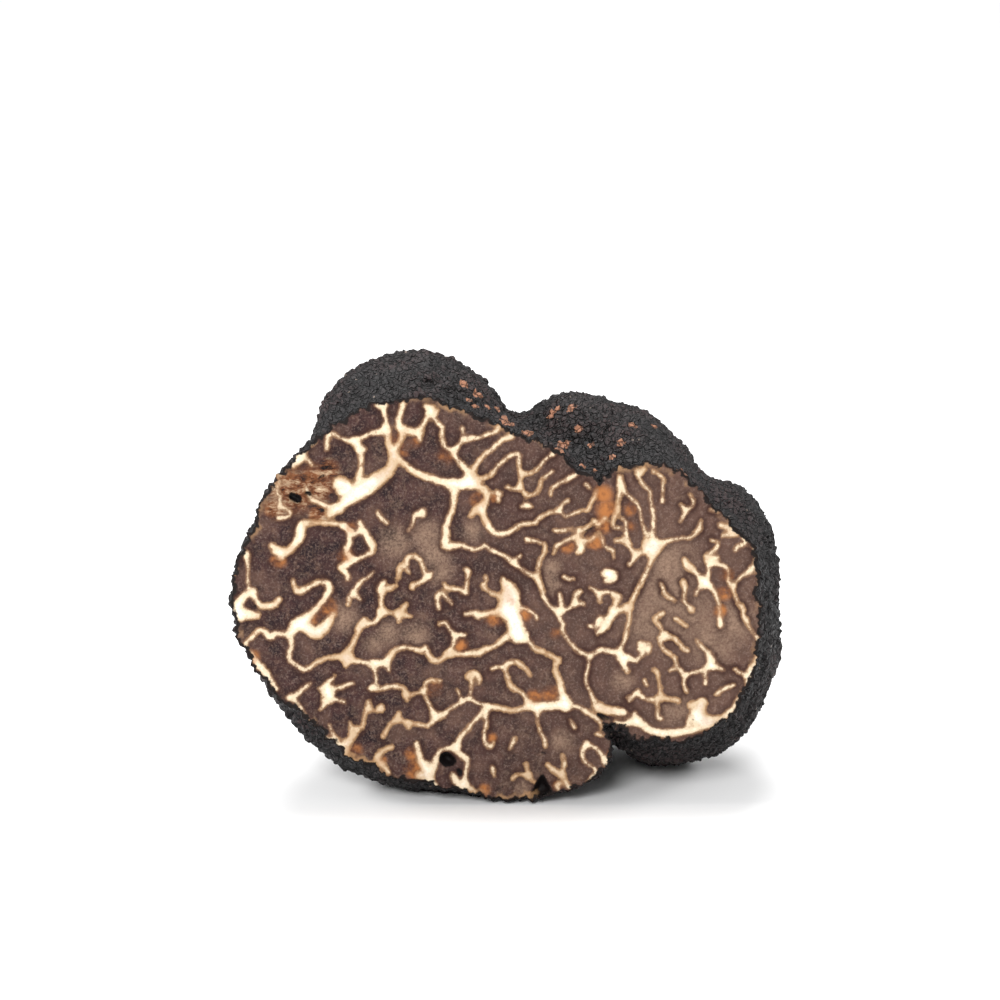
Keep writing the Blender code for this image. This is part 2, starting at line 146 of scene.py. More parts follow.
CENTRE_VEINS = """
-6.9,42.2,1 -6.9,41,.8 -6.95,39.8,.65 -7.4,38.6,.65 -7.9,37.2,.8 -7.9,36,.9 -7.95,34.7,1.1 -6.8,34.6,.8 -5.9,34.7,.6 -5.05,34.35,.5 -4.2,34.05,.4 -3.4,34.35,.4 -2.7,34.6,.55 -1.9,34.05,.45 -.95,33.6,.4 0,33.2,.4 .95,32.3,.5 1.9,31.7,.35 2.7,31,.4 3.75,30.55,.5 4.2,30.05,.7 4.6,29.1,.55 4.95,27.9,.5 5.5,26.95,.4 6.2,26.2,.5 6.95,25.7,.9 7.1,25,.5 7.5,24.15,.5 7.5,23.4,.5 7.85,22.6,.4 8.4,21.75,.4 9,21.05,.5 9.8,20.45,.5 10.45,20.1,.5 11.15,19.95,.6 11.9,20.3,.5 12.7,20.7,.6 13.8,20.45,.6 14.85,20.3,.9 15.4,19.7,1.3 16.4,19.6,.8 17.2,19.25,.6 17.7,19.7,.5 18.15,20.45,.6 18.15,21.4,.8
1,32.4,.35 1.4,32.9,.35 1.9,33.25,.35
4.15,30.6,.5 4.2,31.5,.4 4.4,32.4,.5 4.7,33.15,.4 5.1,34,.35 5.1,34.8,.35 4.5,35.05,.3 3.65,35.3,.4 2.8,35.4,.6
-4.2,42.8,1 -3.4,42.4,.8 -2.6,41.8,.9 -2.6,40.75,.55 -3.2,39.7,1.2 -3.05,38.85,.9 -2.6,37.8,.75 -2,36.8,.8 -1.2,36.2,.7 0,36.3,.6 1.05,36.8,.5 1.9,37.4,.5 2.8,37.55,.4 3.75,37.65,.5 4.5,38.35,.35 5.4,38.9,.35 6.35,39.2,.3 6.95,39.25,.4 7.4,38.85,.25 8.05,38.55,.3 9,38.95,.3 9.95,39.3,.3 10.75,39.4,.35 11.2,40.3,.35 11.6,41,.35 11.9,41.95,.3
-3.4,39.6,.8 -4.1,39.3,.7 -4.6,38.6,.5
6.95,39.4,.35 7.5,40.15,.35 8.1,40.6,.45
10.5,42.8,.3 10.95,42.35,.4
6.35,36.7,.4 7.4,36.65,.4 8.5,36.9,.4
9.6,36.75,.35 9.45,36,.6 8.6,35.65,.4 7.4,35.05,.4 6.7,34.6,.4 6.35,33.65,.3
7.65,30.55,.35 8.2,30.2,.35 8.95,30.2,.3
7.05,28.15,.35 7.2,27.3,.45 7.3,26.35,.6 7,25.8,.7
7.2,25.9,.35 8.15,26.2,.35 9,26.75,.5 9.05,27.3,.5 9.25,28.05,.6 9.75,28.5,.45
9,26.8,.5 9.7,26.9,.45 10.3,26.8,.4
-2.7,30.4,.45 -2.7,29.7,.35 -3.05,29.25,.7 -2.45,28.65,.35 -1.65,28.15,.35 -1.05,27.9,.5
-.35,30.2,.5 0,29.35,1.2 .5,28.4,2.2 .5,27.3,2.6 .3,26.2,2.6 .8,25.3,2.3 1.2,24.3,2.2 1.4,23.4,2.3 1.6,22.8,2.4
1.9,26.4,.5 3.05,26,.35 3.9,25.4,.4 4.1,24.9,.35
-.6,26,1 -1.4,25.75,.7 -2.6,25.5,.7 -3.55,25.3,.9 -4.25,25.65,.6 -5.3,25.5,.5
2.6,22.3,.9 3.2,21.65,.5 3.8,20.8,.5 4.6,20.55,.55 5.45,20.2,.5 6.3,19.7,.5 6.9,19.25,.7 6.5,18.5,.5 6.65,17.55,.6 7.1,16.6,.7 7.25,15.65,.8 7.5,14.7,.9 7.7,13.95,1.5 7.85,13.35,1.6
3.1,13.25,.9 4.05,13,1.3 5.45,13.1,1.2 6.65,13.25,1.2 7.85,13.25,1.4 8.8,13.1,.7 9.6,13,.45 10.6,12.4,.5 11.55,11.8,.5 12.4,11.05,.3 12.85,10.2,.25
-1.8,18.15,.4 -1.05,18.4,.35 -.35,18.35,.35 .1,18.8,.6 .85,19,.55 1.55,19,.5 2.25,18.4,.45 2.85,17.8,.4 3.2,17.25,.25
-.2,18.3,.4 -.05,17.8,.4 .25,16.85,.45 .5,15.9,.6 1.2,15.35,.5 1.9,15.05,.4 2.5,14.35,.4 2.95,13.6,.5
-5.2,17.1,.3 -4.6,17.45,.7 -4,17.45,.7 -3.55,16.85,.55 -3.55,16.2,.35
-4.6,17.3,.5 -4.6,16.6,.45 -4.6,15.65,.3 -4.8,14.7,.25 -4.85,14.2,.4
-5.9,13.8,.3 -6.25,14.8,.25 -6.5,15.4,.15
"""

BOTTOM_VEINS = """
-2.3,12.9,.7 -2.85,12.4,.9 -3.9,11.4,.5 -4.7,10.5,.5 -5.4,9.65,.5 -6.2,8.65,.6 -6.7,7.7,.9 -7.9,7.35,.5 -8.85,7,.5 -9.2,6,.5 -9.55,4.95,.5 -9.9,3.8,.8 -10,2.95,.6 -9.45,2.25,.3
-2.7,12.2,.6 -2.65,11.3,.5 -2.65,10.35,.4 -2.9,9.4,.35 -2.85,8.4,.4 -2.4,7.7,.5 -1.95,7.7,.5 -1.65,8.2,.3
-6.6,7.6,.8 -6.45,6.85,.7 -5.6,6.25,.9 -5.15,5.75,.6 -5.25,4.55,.6 -5.4,3.6,.6 -5.65,2.75,1 -6.45,2.75,1 -7.05,3.7,.7
-5.6,2.6,.8 -4.8,1.9,.7 -4.1,1.3,.5
-5.8,2.4,.6 -5.9,1.65,.5
4.2,12.6,.7 4.25,12.2,.5 4.2,11.4,.35 4.2,10.7,.25 4.6,9.65,.3 5.2,8.4,.45 5.25,7.7,.35
1.15,8.65,.55 .8,7.95,.35 .55,7.35,.3
8.55,11.3,.25 8.9,10.55,.4 9.1,10.2,.35
2.7,5.15,.5 2.8,4.55,.5 2.8,3.85,.6 2,3.85,.3 1.4,3.7,.4 .9,3.35,.4
3,3.6,.5 3.3,3.2,.5 3.75,2.85,.35
-1.8,4.9,.3 -1.7,4.3,.5 -1.6,3.7,.3
5.55,5.15,.5 6.4,4.4,.5 7.35,3.95,.6 7.6,4.55,.4 7.8,5.4,.45 7.55,6.4,.35
7.35,3.95,.6 7.7,3.35,.6 8.05,2.6,.6 8.55,2.1,.5 9,1.9,.3
6.9,2.35,.8 7,1.65,.4
10.65,7.95,.8 10.2,7,.6 10.3,6,.45 10.9,5.2,.4 11.7,4.8,.35 11.95,4.1,.5 11.35,3.35,.4 10.9,2.85,.4
10.8,7.9,.6 11.35,7.7,.4 12.1,7.35,.4 12.65,6.6,.5 13.15,5.9,1 13.25,5.3,.6
12,9.4,.3 12.9,9.1,.3
-21.2,8,.8 -21.35,7.2,.9 -21.15,6.25,.5 -20.35,5.5,.5 -19.9,5.05,.3
-15.3,7.6,.5 -16.15,7.2,.5 -16.85,6.6,.7 -17.1,5.8,.8 -16.25,4.95,.6 -15.65,4.1,.5
-11.9,7.9,.7 -11.65,6.85,.7 -11.4,5.8,.9 -10.8,4.95,1.4 -10.6,3.95,1.3 -11.6,3.7,1
-10.5,3.6,.9 -9.9,2.85,.6 -9.4,2.25,.4
-10.2,4.6,.6 -9.6,5.05,.6 -9.3,6.15,.4
"""

FOLD_VEINS = """
14.95,43.7,.6 15.05,42.75,.9 15.55,41.9,.5 16.4,41,.35 17.25,40.2,.35 17.6,39.5,.35 17.75,38.6,.3 17.95,37.65,.3 18.2,36.7,.35 18.5,36,.4 18.4,35.3,.6 18.6,34.6,1.3 19.3,34.4,1.9
18.1,44.75,.6 17.5,44.05,.6 17.65,43.35,.35 18.25,42.4,.35 18.95,41.8,.35 19,40.6,.3 19.2,39.6,.5 19.4,38.6,.6 19.4,37.65,.6 19.35,36.7,.55 19.35,35.75,.8 19.3,34.7,1.7
17.1,44.6,.4 17.6,44.3,.4
19.3,44.5,.35 20.1,44.05,.35 20.7,43.45,.4 20.6,42.65,.3 20.6,41.2,.2 20.55,40.45,.5
19.6,34.5,1.6 20.65,34.95,.8 21.6,35.3,.45 22.75,35.6,.35 24.05,35.65,.35 24.75,36,.35 25.4,36.9,.7 25.75,37.95,.15
19,34,1.2 18.3,33.85,.7 17.45,33.6,.6 17,33.15,.6 16.65,32.55,.4 16.3,32.1,.5
17,33.6,.5 16.5,34.2,.4 16.05,35.05,.5 15.45,35.3,.6 14.4,35.3,.4
16,35.2,.5 15.9,36,.5 15.8,36.95,.4 15.8,37.8,.4 15.35,38.25,.35
15,41.9,.4 14.85,40.85,.5 14.75,39.9,.5 14.6,39.1,.6 14.15,38.15,.35 14.15,37.2,.35 14.85,36.95,.25
19.4,33.8,1.2 19.25,33.15,.8 18.9,31.95,.5 18.4,30.8,.5 17.85,29.7,.5 17.25,28.5,.5 16.65,27.3,.5 16.25,26.35,.9 16.3,25.6,.5 16.25,24.4,.45 15.95,23.2,.5 15.75,22.1,.5 15.3,21.15,.5 15,20.4,.8
16.1,26.3,.7 15.35,26.1,.6 14.4,25.7,.9 13.75,25,1 13.3,24.15,1 12.7,23.4,.8 12.2,22.95,.5
12.45,24.9,.8 11.9,23.9,.6 11.05,23.9,.4
11.15,29,.4 11.5,28.8,.5 12.3,28.3,.5 13,28.45,.35 13.85,28.4,.4 14.4,27.9,.8 14.75,27.7,.9 14.4,26.75,.6 14.05,25.9,.8
12.3,28.2,.4 12.35,27.1,.35
12.9,30.9,.8 13.4,30.9,1.4 14,30.5,1.5 13.2,29.9,.7
9.6,35.4,.7 10.9,35.3,.45 11.6,35.8,.35 12.15,36.25,.35
9.6,36.6,.4 10.3,36.75,.35 11,37.4,.35 11.7,37.9,.45 12.15,37.4,.35 13,38.25,.35
9.7,35.2,.6 9.9,34.2,1 9.45,33.75,.5
12.65,35.75,.3 13,34.6,.35 14.05,34,.35 14.2,33.05,.25
11.1,19.8,.4 10.95,19.1,.3 10.85,18.15,.35 10.6,17.1,.4 10.7,16,.3 11.2,15.05,.3 11.55,14.1,.5 11.9,13.35,.8 12.4,12.85,1.3 13.8,12.5,1 15,12.4,1.2 15.7,12.15,.8
15.5,19.4,1 15.65,18.65,.8 16.15,17.8,.5
17.65,21.5,.4 17.9,20.6,.4
18.85,21.5,.4 18.85,20.3,.35
17.7,20.9,.4 18.9,20.9,.5
"""

RIGHT_VEINS = """
14.55,10.95,.4 15.7,10.7,.7 17.3,11.1,1.2 18.6,10.2,1 20,9.6,1.1 21.4,9.45,1.1 22.85,9.55,1.1 24.3,9.8,.9 25.4,10.1,1
17.15,12,.7 17.3,11.2,.9
16.7,14.4,.4 17.4,14.8,.5 18.2,14.3,.45 19,13.95,.45 19.95,14.05,.5 20.55,14.3,.6 21.65,14.05,.45 22.6,13.95,.6 22.85,13.6,.4
17.4,14.9,.4 17.6,15.3,.25
20.5,14.4,.5 20.4,15.75,.35 20.25,16.7,.25 20.05,17.55,.45 19.6,18.05,.4
20.05,13.9,.4 20.05,13.5,.35 20.15,12.5,.4 20.2,11.65,.5 20.55,11.4,.6
18.3,16.6,.35 18.65,16,.3
16.1,14.3,.2 16.4,13.7,.2
20.7,25.6,.5 20.15,25.25,.6 19.75,24.65,.5 20.25,24.05,.35 20.7,23.3,.35 20.85,22.6,.9 20.5,22.2,.7 20.5,21.4,.4 20.95,20.7,.45 21.7,20.2,.4 22.3,19.6,.4 22.65,18.65,.35 23.25,17.8,.35 23.75,17.4,.5 24.65,17.6,.35 25.4,17.75,.4 26.55,18.15,.5 27.2,18.6,1
21,22.5,.6 22.25,22.25,.5 22.95,21.5,.45 23.55,20.8,.45 24.05,20.55,.45
21.8,17.95,.35 22.5,18.2,.35
23.7,17.3,.4 23.7,16.95,.4 23.6,16.1,.35 23.95,15.05,.4
25.3,21.9,.4 26.05,20.9,.4 26.8,20.2,.7 27.1,19.25,1.1 27.25,18.6,1 28.45,18.2,.4 28.9,18,.3
26.5,18.1,.4 26.45,17.1,.35 26.45,16.1,.45
30.35,18.05,.35 31.4,17.45,.35 32,17.2,.8
27.95,14.7,.4 28.7,15.3,.5 29.5,15.7,.5 30.2,15.9,.35
26.4,33.2,.4 26.95,32.65,1 28,33.1,.35
27.1,32.5,.8 27.9,32.15,.5 28.95,31.8,.4 29.35,30.95,.3 29.35,30,.35 29.95,29.05,.4 30.35,27.85,.3 30.7,26.9,.35 31.3,26.3,.55 31.4,25.35,.4 31.85,24.5,.55 32.4,23.45,.35 33.2,22.4,.4 33.7,21.15,.5 33.35,20.2,.5 33.15,19.25,.5 32.45,17.8,.9 32.3,16.6,.9 32,15.6,.5 31.4,14.55,.7 30.6,13.7,.4 30.15,12.75,.7 29.2,11.9,.8 28.15,10.8,.9
26.9,32.4,.6 26.75,31.7,.4 26.65,30.5,.6 26.3,29.8,1.4 27.1,28.95,.7 27.7,28.1,.45 28.05,27.15,.4 28.25,25.95,.4 28.3,24.9,.6 28.35,24.05,.8
23.55,32.75,.6 24.05,31.9,1 25,31.2,.5 25.6,30.4,.6 26.1,29.9,1
26,29.4,.7 25.35,28.8,.4 25,28.1,.3
23.45,29.75,.7 23.7,28.7,.4 23.5,27.5,.4 24.1,26.55,.4 24.55,26.05,.7
20.5,29.55,.3 20.8,28.85,.4 21.1,28.1,.5 22.25,27.25,.3
22.45,24.9,.3 23.8,23.9,.3
28.2,37.35,.6 29.15,37.1,.7 29.85,36.4,.7 30.35,36.15,.4
29.9,36.2,.5 28.7,35.95,.5
27.2,35.35,.4 27.9,35,.35 27.75,34.3,.4 26.95,33.7,.4
31.3,35.6,.5 31.55,35,.6 30.7,34.55,.6 30.25,34.05,.5
32.6,34.3,.3 32.95,33.35,.3 32.75,32.15,.4 32.15,31.2,.8 31.2,30.6,.35 30.3,29.65,.4 29.95,29.3,.4
33.3,31.8,.5 33.4,30.6,.4 33.4,28.7,.4 33,28.1,.4
23,40.1,.3 23.7,39.45,.4 24.5,39.9,.35 24.6,40.6,.4 24.15,41.45,.25
23.65,39.3,.35 23.45,38.7,.4 22.95,37.9,.3
26.9,39.4,.3 27.85,39.15,.3
24.6,13.2,.8 26.1,13.7,1 25.5,12.4,1.8 25.8,11.4,2.2 26.8,10.9,1.8 28,11.2,1
24.4,11.4,.7 24.2,10.5,.6
"""

VEINS = "".join(
    (
        UPPER_LEFT_VEINS,
        LEFT_VEINS[1:],
        MIDDLE_LEFT_VEINS[1:],
        CENTRE_VEINS[1:],
        BOTTOM_VEINS[1:],
        FOLD_VEINS[1:],
        RIGHT_VEINS[1:],
    )
)

# Pits, cracks and notches, drawn as veins are; the flesh is pressed in there and coloured near black as painted shade.
HOLLOWS = """
-8.1,6.2,1.5 -7.9,5.9,2.1 -7.3,5.6,1.6
-6.2,4.3,.9 -6.1,3.9,.8
-7.1,2.2,.6 -7,1.8,.6
4.9,4,.3 4.8,3,1.3 4.8,1.9,2.4 4.8,.6,3.4
12.3,12,.7 13,11.6,.8 13.9,11.2,.5
-.4,3.2,.25 -.5,2.2,.3 -1.5,1.5,.3
.55,5.8,.15 1.1,6.4,.25 1.6,7,.15
10.1,36.3,.15 11,36.8,.35 12,37.2,.15
4.8,6.75,.4 4.9,6.75,.4
5.3,6.75,.4 5.4,6.75,.4
24.8,11.4,.5 24.9,11.4,.5
-28.2,41.2,1.2 -27.5,40.8,1.4
-26.2,41.6,.8 -25.8,41.4,.7
-24.6,43.6,.5 -24,43.9,.4
-33.4,26.5,.6 -33.2,26.5,.6
"""

# Rusty stains, and soft paler places: along, up and radius.
STAINS = """
-14.7,49.2,.8 -12.4,48.2,.8 -13.3,47.5,.8 -7.9,46.5,.9 -3.65,40.7,.9 -1.65,41,.5 -20.4,37,.7
-21.2,33.3,.9 -29.8,32.5,.7 -30.6,32.5,.6 -23.7,26.2,1.2 -25.5,25,.9 .6,27.1,.6 2.6,25.5,.8
-1.5,24.9,1 -5.9,21.15,.9 6.5,22.8,.7 3.8,14.45,.9 5.8,14.9,1 -9.5,15.5,1 -20.3,7,1 -16.5,6,.6
-12.6,6.6,.8 -12.3,4.6,1.1 -12.2,3.7,.7 -1.95,8.9,.6 -2.9,1.75,.7 -33.6,19.7,.8 8.1,34.5,.8
11.7,35.05,1 14.2,6.6,.6 6.9,2.3,.6 -28.5,43.5,1.6 -25.5,44,1.2 -24.6,41.6,1 -25,38.6,.8 -31,39.6,.8
12.8,41.4,1.1 13.2,39.4,1.2 12.9,37.4,1 16.4,39.5,.8 16.6,37.2,.7 29,30.6,.9 28.8,28.4,.9 28.4,25.8,.8
"""
PALE_ZONES = """
-10.4,36,1.8 -9.6,33.4,2 -9,31.3,1.6 -14.5,35,1.8 -15.6,23,1.4 -12,22.4,1.6 -17.5,21.5,1 -21.6,25,1.6
-4.4,36.5,1.2 6,31.6,1.1 6,29.4,1.1 7.4,8.3,1.3 21.6,32,3 18.6,24,2.6 24,26,3 27,22,3 21,27.6,3
30,24.4,2.4 22.6,12.2,2 2.2,2.1,.8 15.5,16.5,1.2
"""
TORN_ZONES = """
-29.4,42.4,2 -27.4,41.6,2.4 -25,42.6,2.2 -23.4,44.6,1.4 -30.2,39.6,1.4 -24.6,39,1.2
"""

# Rubbed places on the skin, given where they show beside the cut: along, up and radius.
SCARS = """
.25,51.45,.8 -.7,49.45,.5 -2,53.5,.35 -.8,52.85,.4 .25,52.05,.4 -3.85,55.2,.6 -5.6,56.35,.6
-4.55,54.4,.4 -4.2,53.45,.4 5.5,52.4,.6 6.3,53.2,.4 8.4,53.3,.6 9.4,50.5,.45 7.5,48.5,.7 7.4,47.4,.5
2.95,49.45,.6 10.9,48.3,.4 10.35,45.8,.35 11.55,45.25,.3 16.8,50.9,.5 15.15,48.45,.5 13.4,46.6,.45
23.2,43.7,.7 24.25,43.65,.3 19.6,50.7,.4
"""


class Surface(Enum):
    """The two kinds of surface, in the order of the mesh's materials."""

    FLESH = 0
    SKIN = 1


@dataclass(frozen=True)
class Knife:
    """The plane that the truffle was cut on, which leans back a little from upright."""

    lean: float = math.radians(5.0)
    along: float = 0.6656
    back: float = 21.4972
    up: float = 0.3052

    @property
    def normal(self) -> Vector:
        """The way the cut face looks."""
        return Vector((0.0, -math.cos(self.lean), math.sin(self.lean)))

    @property
    def point(self) -> Vector:
        """A point on the plane, in metres."""
        return Vector((0.0, -self.back, self.up)) * MM

    def grid(self, places: np.ndarray) -> np.ndarray:
        """Turns places in the row frame into the knife's own plane.

        Args:
            places: one row of x, y and z in metres for each point.

        Returns:
            One row of millimetres along, up and behind the cut for each point.
        """
        x, y, z = (places / MM).T
        y, z = y + self.back, z - self.up
        sin, cos = math.sin(self.lean), math.cos(self.lean)
        return np.column_stack((x + self.along, y * sin + z * cos, y * cos - z * sin))

    def place(self, along: float, up: float) -> np.ndarray:
        """The place in the row frame, in metres, of a point of the cut."""
        sin, cos = math.sin(self.lean), math.cos(self.lean)
        return np.array((along - self.along, up * sin - self.back, up * cos + self.up)) * MM


def read_lines(text: str) -> list[np.ndarray]:
    """Reads one line of points for each line of text.

    Args:
        text: points as numbers joined by commas, with spaces between the points.

    Returns:
        One array for each line, with a row for each point.
    """
    return [
        np.array([[float(n) for n in point.split(",")] for point in line.split()])
        for line in text.strip().splitlines()
    ]


def rounded(line: np.ndarray, steps: int = 4) -> np.ndarray:
    """Draws a smooth curve through the points of a line.

    Args:
        line: one row for each point.
        steps: how many short pieces each span becomes.

    Returns:
        The curve's points, one row each.
    """
    if len(line) < 3:
        return line
    ends = np.vstack((2 * line[0] - line[1], line, 2 * line[-1] - line[-2]))
    t = np.linspace(0, 1, steps, endpoint=False)[:, None]
    spans = []
    for a, b, c, d in zip(ends, ends[1:], ends[2:], ends[3:]):
        bend = 2 * a - 5 * b + 4 * c - d
        twist = 3 * b - a - 3 * c + d
        spans.append(0.5 * (2 * b + (c - a) * t + bend * t**2 + twist * t**3))
    return np.vstack((*spans, line[-1:]))


def inside_lines(
    places: np.ndarray, lines: list[np.ndarray], reach: float, web: float = 0.7
) -> np.ndarray:
    """Measures how far inside a set of tapering strokes each place is.

    Args:
        places: millimetres along and up the cut, one row each.
        lines: strokes, with a row of along, up and width for each point.
        reach: how far outside a stroke its distance is still wanted.
        web: how widely two strokes run together where they meet.

    Returns:
        The depth inside the nearest stroke's edge for each place, below zero outside.
    """
    depth = np.full(len(places), -reach)
    order = np.argsort(places[:, 0])
    across = places[order, 0]
    for line in lines:
        curve = rounded(line)
        own = np.full(len(places), -reach)
        for a, b in zip(curve, curve[1:]):
            margin = reach + max(a[2], b[2]) / 2
            first = np.searchsorted(across, min(a[0], b[0]) - margin)
            last = np.searchsorted(across, max(a[0], b[0]) + margin)
            near = order[first:last]
            near = near[np.abs(places[near, 1] - (a[1] + b[1]) / 2) < margin + abs(a[1] - b[1]) / 2]
            span = b[:2] - a[:2]
            offset = places[near] - a[:2]
            t = np.clip(offset @ span / max(span @ span, 1e-9), 0, 1)
            gap = np.linalg.norm(offset - t[:, None] * span, axis=1)
            width = np.maximum(a[2] + (b[2] - a[2]) * t, 0.12) / 2
            own[near] = np.maximum(own[near], width - gap)
        close = np.clip(1 - np.abs(own - depth) / web, 0, 1)
        close[np.minimum(own, depth) <= -reach + web] = 0.0
        depth = np.maximum(own, depth) + close**2 * web / 4
    return depth


def spots(places: np.ndarray, marks: str, softness: float = 0.6) -> np.ndarray:
    """Lays soft round spots on the cut.

    Args:
        places: millimetres along and up the cut, one row each.
        marks: lines of spots, each along, up and radius.
        softness: the share of the radius over which a spot fades.

    Returns:
        How strong the nearest spot is for each place, from 0 to 1.
    """
    strength = np.zeros(len(places))
    for mark in np.vstack(read_lines(marks)):
        gap = np.linalg.norm(places - mark[:2], axis=1) / mark[2]
        fade = np.clip((1 + softness - gap) / (2 * softness), 0, 1)
        strength = np.maximum(strength, fade * fade * (3 - 2 * fade))
    return strength


def step(low: float, high: float, values: np.ndarray) -> np.ndarray:
    """Rises smoothly from 0 at low to 1 at high."""
    t = np.clip((values - low) / (high - low), 0, 1)
    return t * t * (3 - 2 * t)


def roughness_field(places: np.ndarray, size: float, octaves: int = 3) -> np.ndarray:
    """Samples fractal noise at each place.

    Args:
        places: one row of three numbers for each point, in millimetres.
        size: the size of the largest lumps, in millimetres.
        octaves: how many finer layers are added.

    Returns:
        Values about -1 to 1.
    """
    return np.array([noise.fractal(Vector(p) / size, 0.8, 2.0, octaves) for p in places])


@dataclass
class Warts:
    """The skin's warts: small flat-topped lumps with furrows between them, in millimetres."""

    spacing: float = 1.08
    spread: float = 0.3
    height: float = 0.46
    crown: float = 0.22
    furrow: float = 0.42
    swell_size: float = 7.0
    swell_height: float = 0.35
    lip_line: tuple[tuple[float, ...], ...] = ((-30.0, 13.5, 5.0), (-22.0, 5.5, 6.0), (-12.0, 1.5, 6.5), (-4.0, 0.5, 7.0))
    lip_height: float = 1.5
    lip_reach: float = 6.5
    ragged: float = 0.5

    def seeds(self, places: np.ndarray) -> kdtree.KDTree:
        """Scatters the middles of the warts over the skin, no two too close.

        Args:
            places: the skin's points in millimetres.

        Returns:
            A search tree of the middles.
        """
        order = list(range(len(places)))
        random.Random(SEED).shuffle(order)
        cell = self.spacing
        taken: dict[tuple[int, ...], list[np.ndarray]] = {}
        middles = []
        for index in order:
            place = places[index]
            local = noise.noise(Vector(place) / 6.0)
            least = self.spacing * (1 + self.spread * local) * 0.8
            key = tuple(int(c) for c in np.floor(place / cell))
            close = (
                other
                for i in (-1, 0, 1)
                for j in (-1, 0, 1)
                for k in (-1, 0, 1)
                for other in taken.get((key[0] + i, key[1] + j, key[2] + k), ())
            )
            if any(np.dot(place - other, place - other) < least * least for other in close):
                continue
            taken.setdefault(key, []).append(place)
            middles.append(place)
        tree = kdtree.KDTree(len(middles))
        for number, middle in enumerate(middles):
            tree.insert(Vector(middle), number)
        tree.balance()
        return tree

    def raise_on(self, places: np.ndarray) -> tuple[np.ndarray, np.ndarray]:
        """Works out how high the skin stands.

        Args:
            places: the skin's points in millimetres.

        Returns:
            The height in millimetres and how far up its wart each point is, from 0 to 1.
        """
        tree = self.seeds(places)
        edge = np.empty(len(places))
        middle = np.empty(len(places))
        lift = np.empty(len(places))
        for index, place in enumerate(places):
            shifted = Vector(place) + 0.18 * noise.noise_vector(Vector(place) / 0.8)
            (_, number, near), (_, _, far) = tree.find_n(shifted, 2)
            edge[index] = (far - near) / self.spacing
            middle[index] = near / self.spacing
            lift[index] = 0.75 + 0.5 * noise.cell(Vector((number * 1.7, 0.3, 0.9)))
        top = step(0.0, self.furrow, edge) * lift
        rise = self.height * top + self.crown * np.clip(1 - middle * 1.6, 0, 1)
        swell = self.swell_height * roughness_field(places, self.swell_size, 2)
        return rise - self.height * 0.7 + swell, np.clip(top, 0, 1)

    def lip(self, grid: np.ndarray) -> np.ndarray:
        """Works out the skin's extra fullness under the cut's lower left edge, and its ragged rim.

        Args:
            grid: the skin's points in millimetres along, up and behind the cut.

        Returns:
            The extra height of each point in millimetres.
        """
        gap = np.full(len(grid), 99.0)
        for a, b in zip(self.lip_line, self.lip_line[1:]):
            a, span = np.array(a), np.array(b) - np.array(a)
            t = np.clip((grid - a) @ span / (span @ span), 0, 1)
            gap = np.minimum(gap, np.linalg.norm(grid - a - t[:, None] * span, axis=1))
        full = self.lip_height * (1 - step(0.0, self.lip_reach, gap))
        near_cut = 1 - step(0.4, 2.0, np.abs(grid[:, 2]))
        chosen = np.flatnonzero(near_cut > 0)
        ragged = np.zeros(len(grid))
        ragged[chosen] = self.ragged * near_cut[chosen] * roughness_field(grid[chosen], 1.7, 3)
        return full + ragged


@dataclass
class Marbling:
    """The flesh's pattern of veins, stains and torn places, in the knife's plane."""

    reach: float = 1.2
    twig_count: int = 240

    def veins(self, places: np.ndarray) -> np.ndarray:
        """Measures the depth inside the veins, below zero outside."""
        return inside_lines(places, read_lines(VEINS), self.reach)

    def hollows(self, places: np.ndarray) -> np.ndarray:
        """Measures the depth inside the pits, cracks and notches."""
        return inside_lines(places, read_lines(HOLLOWS), self.reach)


